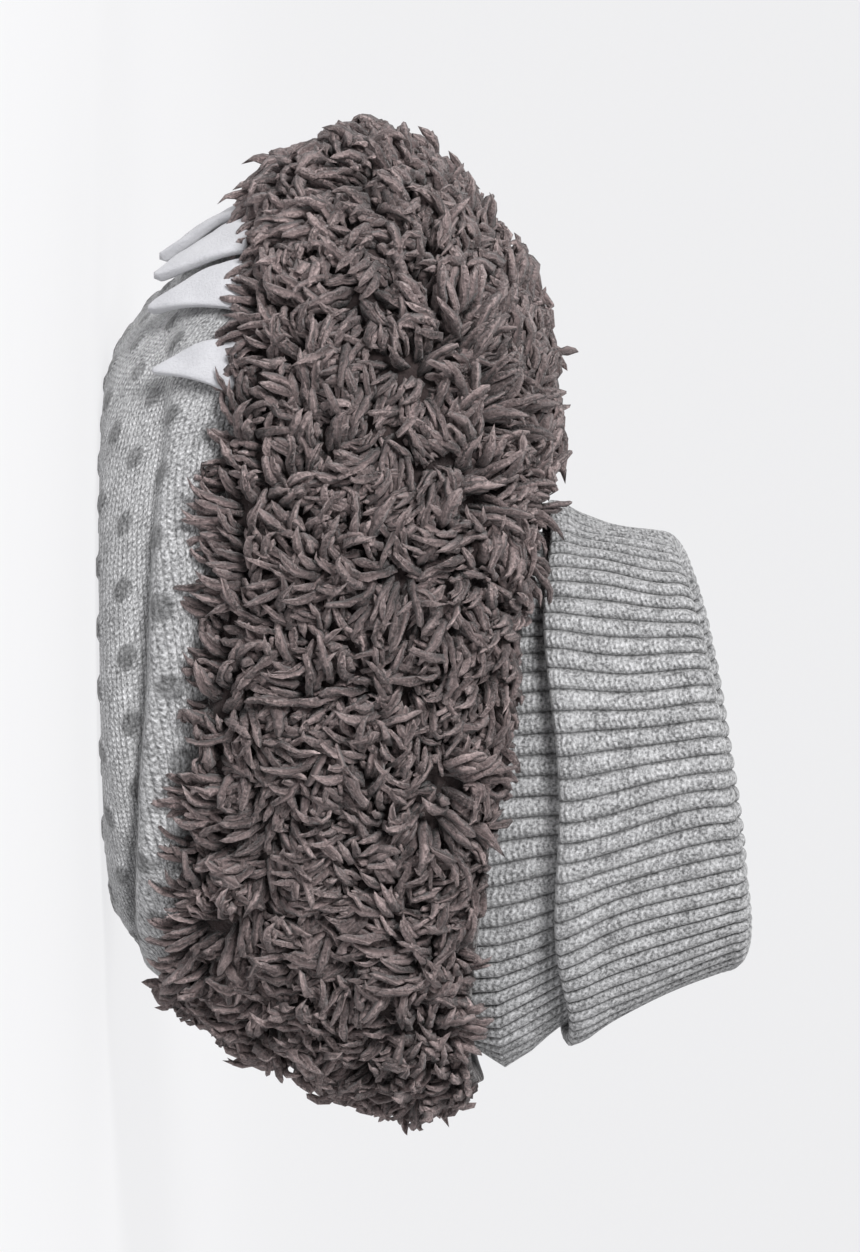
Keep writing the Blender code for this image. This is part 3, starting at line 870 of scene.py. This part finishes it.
def model_lock(chance):
    """Three strands of one lock as a single table of points, maps and faces."""
    hook = (math.radians(chance.uniform(0, 25)), math.radians(chance.uniform(70, 155)))
    swing, twist = chance.uniform(-1.7, 1.7), chance.uniform(-2.6, 2.6)
    strands = []
    for k, longness in enumerate(STRAND_LENGTHS):
        bent = (hook[0], hook[1] + chance.uniform(-0.45, 0.45))
        swung, start = swing + chance.uniform(-0.35, 0.35), chance.uniform(0, 6)
        apart = 2 * math.pi * k / len(STRAND_LENGTHS)
        centre, girth, uv, faces = model_strand(bent, swung, twist, start, apart)
        strands.append((centre * longness, girth, uv + (2 * k, 0), faces + k * len(centre)))
    return [np.concatenate(column) for column in zip(*strands)]


lock_chance = random.Random(5)
lock_models = [model_lock(lock_chance) for number in range(LOCK_MODELS)]
print("modelled", len(lock_models), "locks of", len(lock_models[0][3]), "faces")

# %% [markdown]
# The locks are set as far apart as they are on the cloth, by throwing darts: a random place is kept only
# where no other lock stands too near. The same throw with a wider spacing picks the middles of the tufts,
# because locks stick together in small fans, with dark gaps between one fan and the next.

# %% Throw the roots on the cloth
LOCK_SPACING, TUFT_SPACING = 0.00126, 0.0044
DARTS = 70000


def thin_out(place, spacing):
    """Which points to keep so that no two stand nearer than the spacing."""
    cells, kept = {}, []
    near = [(a, b, c) for a in (-1, 0, 1) for b in (-1, 0, 1) for c in (-1, 0, 1)]
    for i, point in enumerate(place):
        x, y, z = (point // spacing).astype(int)
        rivals = [j for a, b, c in near for j in cells.get((x + a, y + b, z + c), ())]
        if not rivals or ((place[rivals] - point) ** 2).sum(-1).min() > spacing**2:
            cells.setdefault((x, y, z), []).append(i)
            kept.append(i)
    return np.array(kept)


darts = np.random.default_rng(3)
root_turn, root_t = darts.uniform(0, 360, DARTS), darts.uniform(0.005, 0.985, DARTS)
step_round = skin(root_turn + 0.5, root_t) - skin(root_turn - 0.5, root_t)
step_up = skin(root_turn, root_t + 0.005) - skin(root_turn, root_t - 0.005)
area = np.linalg.norm(np.cross(step_round, step_up), axis=1)
even = darts.uniform(0, 1, len(area)) < area / np.quantile(area, 0.97)
root_turn, root_t = root_turn[even], root_t[even]
kept = thin_out(skin(root_turn, root_t), LOCK_SPACING)
root_turn, root_t = root_turn[kept], root_t[kept]
root = skin(root_turn, root_t)
tufts = thin_out(root, TUFT_SPACING)
tuft_of = np.concatenate([
    tufts[((part[:, None] - root[tufts][None]) ** 2).sum(-1).argmin(1)] for part in np.array_split(root, 20)
])
print("locks:", len(root), "in", len(tufts), "tufts")

# %% [markdown]
# A lock lies the way of its tuft, fans out to the side on which it stands in it, and strays a little by
# itself. Near the seam all the locks hang down over the sole. Under the cuff they are short, and over the
# instep long. A lock's length, width, tone and model are drawn by chance, and its tuft shares in its length
# and its tone.

# %% Set the locks
LOCK_SHORT, LOCK_LONG, LOCK_WIDE = 0.0054, 0.0084, 0.00260
TUFT_SWING, FAN, STRAY = 1.5, 1.6, 0.42
TUFT_TONE = 0.55
SEAM_REACH, CUFF_STARTS = 0.10, 0.86


def flow(turn, t):
    """The way in which the locks lie, from 0 for down to the seam: it wanders slowly over the cloth."""
    a = np.radians(turn)
    return 1.3 * np.sin(3 * a + 5 * t) + 1.0 * np.sin(5 * a - 8 * t + 1) + 0.8 * np.cos(2 * a + 11 * t)


def cloth_ways(turn, t):
    """The directions off the cloth, round the foot and down to the seam."""
    normal = square_to(skin, turn, t)
    around = unit(np.cross(np.array((0.0, 0.0, 1.0)), normal))
    return normal, around, -np.cross(normal, around)


def set_locks(name, chosen, seed):
    chance = np.random.default_rng(seed)
    count, turn, t = len(chosen), root_turn[chosen], root_t[chosen]
    normal, around, down = cloth_ways(turn, t)
    edge = np.clip(1 - t / SEAM_REACH, 0, 1)
    tuft = tuft_of[chosen]
    tuft_angle = flow(root_turn[tuft], root_t[tuft]) + tuft_chance[tuft, 0] * TUFT_SWING
    offset = root[chosen] - root[tuft]
    left = (offset * (around * np.cos(tuft_angle)[:, None] - down * np.sin(tuft_angle)[:, None])).sum(-1)
    angle = tuft_angle + np.clip(left / TUFT_SPACING, -0.6, 0.6) * FAN + chance.normal(0, STRAY, count)
    angle *= (1 - 0.85 * edge) * np.clip((1 - t) / 0.1, 0.25, 1)
    lean = down * np.cos(angle)[:, None] + around * np.sin(angle)[:, None]
    side = np.cross(normal, lean)
    front = np.clip(np.cos(np.radians(turn)), 0, 1) ** 2
    under_cuff = np.clip((t - CUFF_STARTS) / 0.09, 0, 1) * (0.30 + 0.40 * front)
    instep = front * np.clip((t - 0.45) * 5, 0, 1) * (t < CUFF_STARTS)
    length = chance.uniform(LOCK_SHORT, LOCK_LONG, count) * (1 + 0.16 * tuft_chance[tuft, 1])
    length *= (1 - under_cuff) * (1 - 0.10 * edge) * (1 + 0.25 * instep)
    width = LOCK_WIDE * chance.uniform(0.62, 1.18, count) * (1 - 0.35 * under_cuff)
    model = chance.integers(0, len(lock_models), count)
    tone = chance.uniform(0, 1, count) * (1 - TUFT_TONE) + (tuft_chance[tuft, 2] * 0.5 + 0.5) * TUFT_TONE
    points, cloth, faces, tones = [], [], [], []
    first = 0
    for i in range(count):
        centre, girth, uv, grid = lock_models[model[i]]
        local = centre * length[i] + girth * width[i]
        points.append(root[chosen[i]] + local @ np.stack((lean[i], side[i], normal[i])))
        cloth.append(uv)
        faces.append(grid + first)
        tones.append(np.full(len(local), tone[i]))
        first += len(local)
    return join_locks(name, *map(np.concatenate, (points, cloth, faces, tones)))


def join_locks(name, points, cloth, faces, tones):
    mesh = bpy.data.meshes.new(name)
    mesh.from_pydata(points.tolist(), [], faces.tolist())
    mesh.uv_layers.new(name="UVMap").data.foreach_set("uv", cloth[faces.ravel()].ravel())
    mesh.attributes.new("tone", "FLOAT", "POINT").data.foreach_set("value", tones)
    mesh.materials.append(lock_colour_and_painted_light)
    mesh.shade_smooth()
    piece = bpy.data.objects.new(name, mesh)
    bpy.context.scene.collection.objects.link(piece)
    bpy.ops.object.select_all(action="DESELECT")
    piece.select_set(True)
    bpy.context.view_layer.objects.active = piece
    bpy.ops.object.mode_set(mode="EDIT")
    bpy.ops.mesh.select_all(action="SELECT")
    bpy.ops.mesh.remove_doubles(threshold=0.0000005)
    bpy.ops.object.mode_set(mode="OBJECT")
    print(name, "has", len(mesh.polygons), "faces")
    return piece


tuft_chance = np.random.default_rng(8).uniform(-1, 1, (len(root), 3))
regions = ("front_left", "back_left", "back_right", "front_right")
for seed, (name, chosen) in enumerate(zip(regions, np.array_split(np.argsort(root_turn), len(regions)))):
    dress(set_locks("locks_" + name, chosen, seed), "fleece")

# %% [markdown]
# A claw is cut from felt about 1.6 mm thick. It is sewn into the seam under the fleece and lies on the toe,
# its point a little off the sole. Each is a grid rolled round its own middle, wide at the seam and pointed
# below.

# %% The felt claws
CLAW_CLEAR, CLAW_TIP = 0.00015, 0.00022
BUCKLE, RIPPLE = 0.00022, 0.00012


def claw_half(width, t):
    return width / 2 * ((1 - t) + CLAW_BOW * np.sin(np.pi * t)) + CLAW_TIP


def claw_strip(row):
    turn, length, width, sweep = (CLAW_TABLE[column][row] for column in ("turn", "length", "width", "sweep"))
    side_length = np.linalg.norm(sole_curve(turn, 1.0) - sole_curve(turn, 0.5))
    side_length += np.linalg.norm(seam(turn) - sole_curve(turn, 0.5))
    per_turn = np.linalg.norm(seam(turn + 0.5) - seam(turn - 0.5))

    def place(angle, share):
        closing = np.sqrt(np.clip(1 - (np.abs(share - 0.5) * 2) ** 30, 0, 1))
        c, s = np.cos(np.radians(angle)), np.sin(np.radians(angle))
        across = claw_half(width, share) * closing * np.copysign(np.abs(c) ** 0.45, c) - sweep * share
        thick = CLAW_THICK / 2 * closing * np.copysign(np.abs(s) ** 0.6, s)
        bent = BUCKLE * np.sin(share * 5 + row * 2) + RIPPLE * np.sin(share * 13 + across * 900)
        down = (CLAW_DROP + length * share) / side_length
        height = GAP + CLAW_CLEAR + CLAW_LIFT * share**2 + CLAW_THICK / 2 + np.maximum(bent, -CLAW_CLEAR)
        return moved(sole_side, turn + across / per_turn, down, height + thick)

    return place


for row in range(len(CLAW_TABLE["turn"])):
    claw = lay(f"felt_claw_{row + 1}", 40, ((30, claw_strip(row)),), felt)
    dress(claw, "felt", f"claw_{row + 1}")
print("claws laid over the sole:", len(CLAW_TABLE["turn"]))

# %% [markdown]
# The bootie stands on pale paper that sweeps up behind it, in soft daylight. The paper is dark by itself and
# glows evenly, so it stays pale up to the picture's edge and takes only a faint shadow.

# %% Floor and light
FLOOR_START, FLOOR_RUN, WALL_BEND, FLOOR_WIDE, PAPER_LONG = 1.4, 1.75, 0.6, 5.0, 4.2
PAPER_DARK, PAPER_PALE = (0.11, 0.11, 0.11), (0.12, 0.12, 0.12)
PAPER_GLOW, GLOW_COLOR = 0.76, (0.985, 0.985, 1.0, 1.0)
LIGHTS = {
    "window": {"place": (0.70, 0.80, 0.45), "size": 0.38, "power": 15.0},
    "far_window": {"place": (-0.70, 0.70, 0.80), "size": 0.80, "power": 4.5},
}
LIT_SPOT = (0.0, 0.0, 0.03)
ROOM_COLOR, ROOM_STRENGTH = (0.97, 0.98, 1.0, 1.0), 0.22


def make_paper():
    material, start = begin("pale_paper")
    grain = noise(start, start.add("TexCoord", out="Object"), 0.002)
    color = start.add("ValToRGB", {"Fac": grain}, stops=((0.0, PAPER_DARK), (1.0, PAPER_PALE)))
    bump = start.add("Bump", {"Height": grain, "Distance": 0.00001})
    paper = {"Base Color": color, "Roughness": 0.9, "Normal": bump}
    paper.update({"Emission Color": GLOW_COLOR, "Emission Strength": PAPER_GLOW})
    start.add("OutputMaterial", {"Surface": start.add("BsdfPrincipled", paper)})
    return material


def sweep(turn, share):
    """A floor that curves up into a wall, far behind the shoe."""
    along = share * PAPER_LONG
    angle = np.clip((along - FLOOR_RUN) / WALL_BEND, 0, np.pi / 2)
    y = FLOOR_START - np.minimum(along, FLOOR_RUN) - WALL_BEND * np.sin(angle)
    z = WALL_BEND * (1 - np.cos(angle)) + np.clip(along - FLOOR_RUN - WALL_BEND * np.pi / 2, 0, None)
    return xyz((turn / 360.0 - 0.5) * FLOOR_WIDE, y, z)


def area_light(name, place, size, power):
    light = bpy.data.lights.new(name, "AREA")
    light.shape, light.size, light.energy = "DISK", size, power
    lamp = bpy.data.objects.new(name, light)
    lamp.location = place
    lamp.rotation_euler = (Vector(LIT_SPOT) - Vector(place)).to_track_quat("-Z", "Y").to_euler()
    bpy.context.scene.collection.objects.link(lamp)


paper = lay("paper_sweep", 24, ((60, sweep),), make_paper())
for name, light in LIGHTS.items():
    area_light(name, **light)
world = bpy.data.worlds.new("soft_room")
bpy.context.scene.world = world
world.use_nodes = True
room = world.node_tree.nodes["Background"].inputs
room["Color"].default_value, room["Strength"].default_value = ROOM_COLOR, ROOM_STRENGTH
bpy.context.scene.view_settings.view_transform = "Standard"
print("lights:", list(LIGHTS))

# %% [markdown]
# The camera keeps the photo's angle to the shoe. It looks at its left side from a little in front, low down
# at the floor, and is rolled so that the toe points up in the picture.

# %% Camera
VIEW_TURN, VIEW_RISE, VIEW_DISTANCE = 167.0, 1.0, 0.95
VIEW_HEIGHT, SENSOR = 0.160, 36.0
AIM, TOE_WAY = (0.0, 0.0, 0.0415), Vector((1.0, 0.0, 0.0))

camera = bpy.data.cameras.new("camera")
camera.sensor_fit, camera.sensor_height = "VERTICAL", SENSOR
camera.lens = SENSOR * VIEW_DISTANCE / VIEW_HEIGHT
a, e = math.radians(VIEW_TURN), math.radians(VIEW_RISE)
back = Vector((math.sin(a) * math.cos(e), -math.cos(a) * math.cos(e), math.sin(e)))
up = (TOE_WAY - back * TOE_WAY.dot(back)).normalized()
right = up.cross(back)
viewer = bpy.data.objects.new("camera", camera)
viewer.location = Vector(AIM) + back * VIEW_DISTANCE
turned = [(right[i], up[i], back[i]) for i in range(3)]
viewer.rotation_mode = "QUATERNION"
viewer.rotation_quaternion = Matrix(turned).to_quaternion()
bpy.context.scene.collection.objects.link(viewer)
bpy.context.scene.camera = viewer
print("camera", tuple(round(c, 3) for c in viewer.location), "lens", round(camera.lens, 1))

# %% Update the scene
bpy.context.view_layer.update()
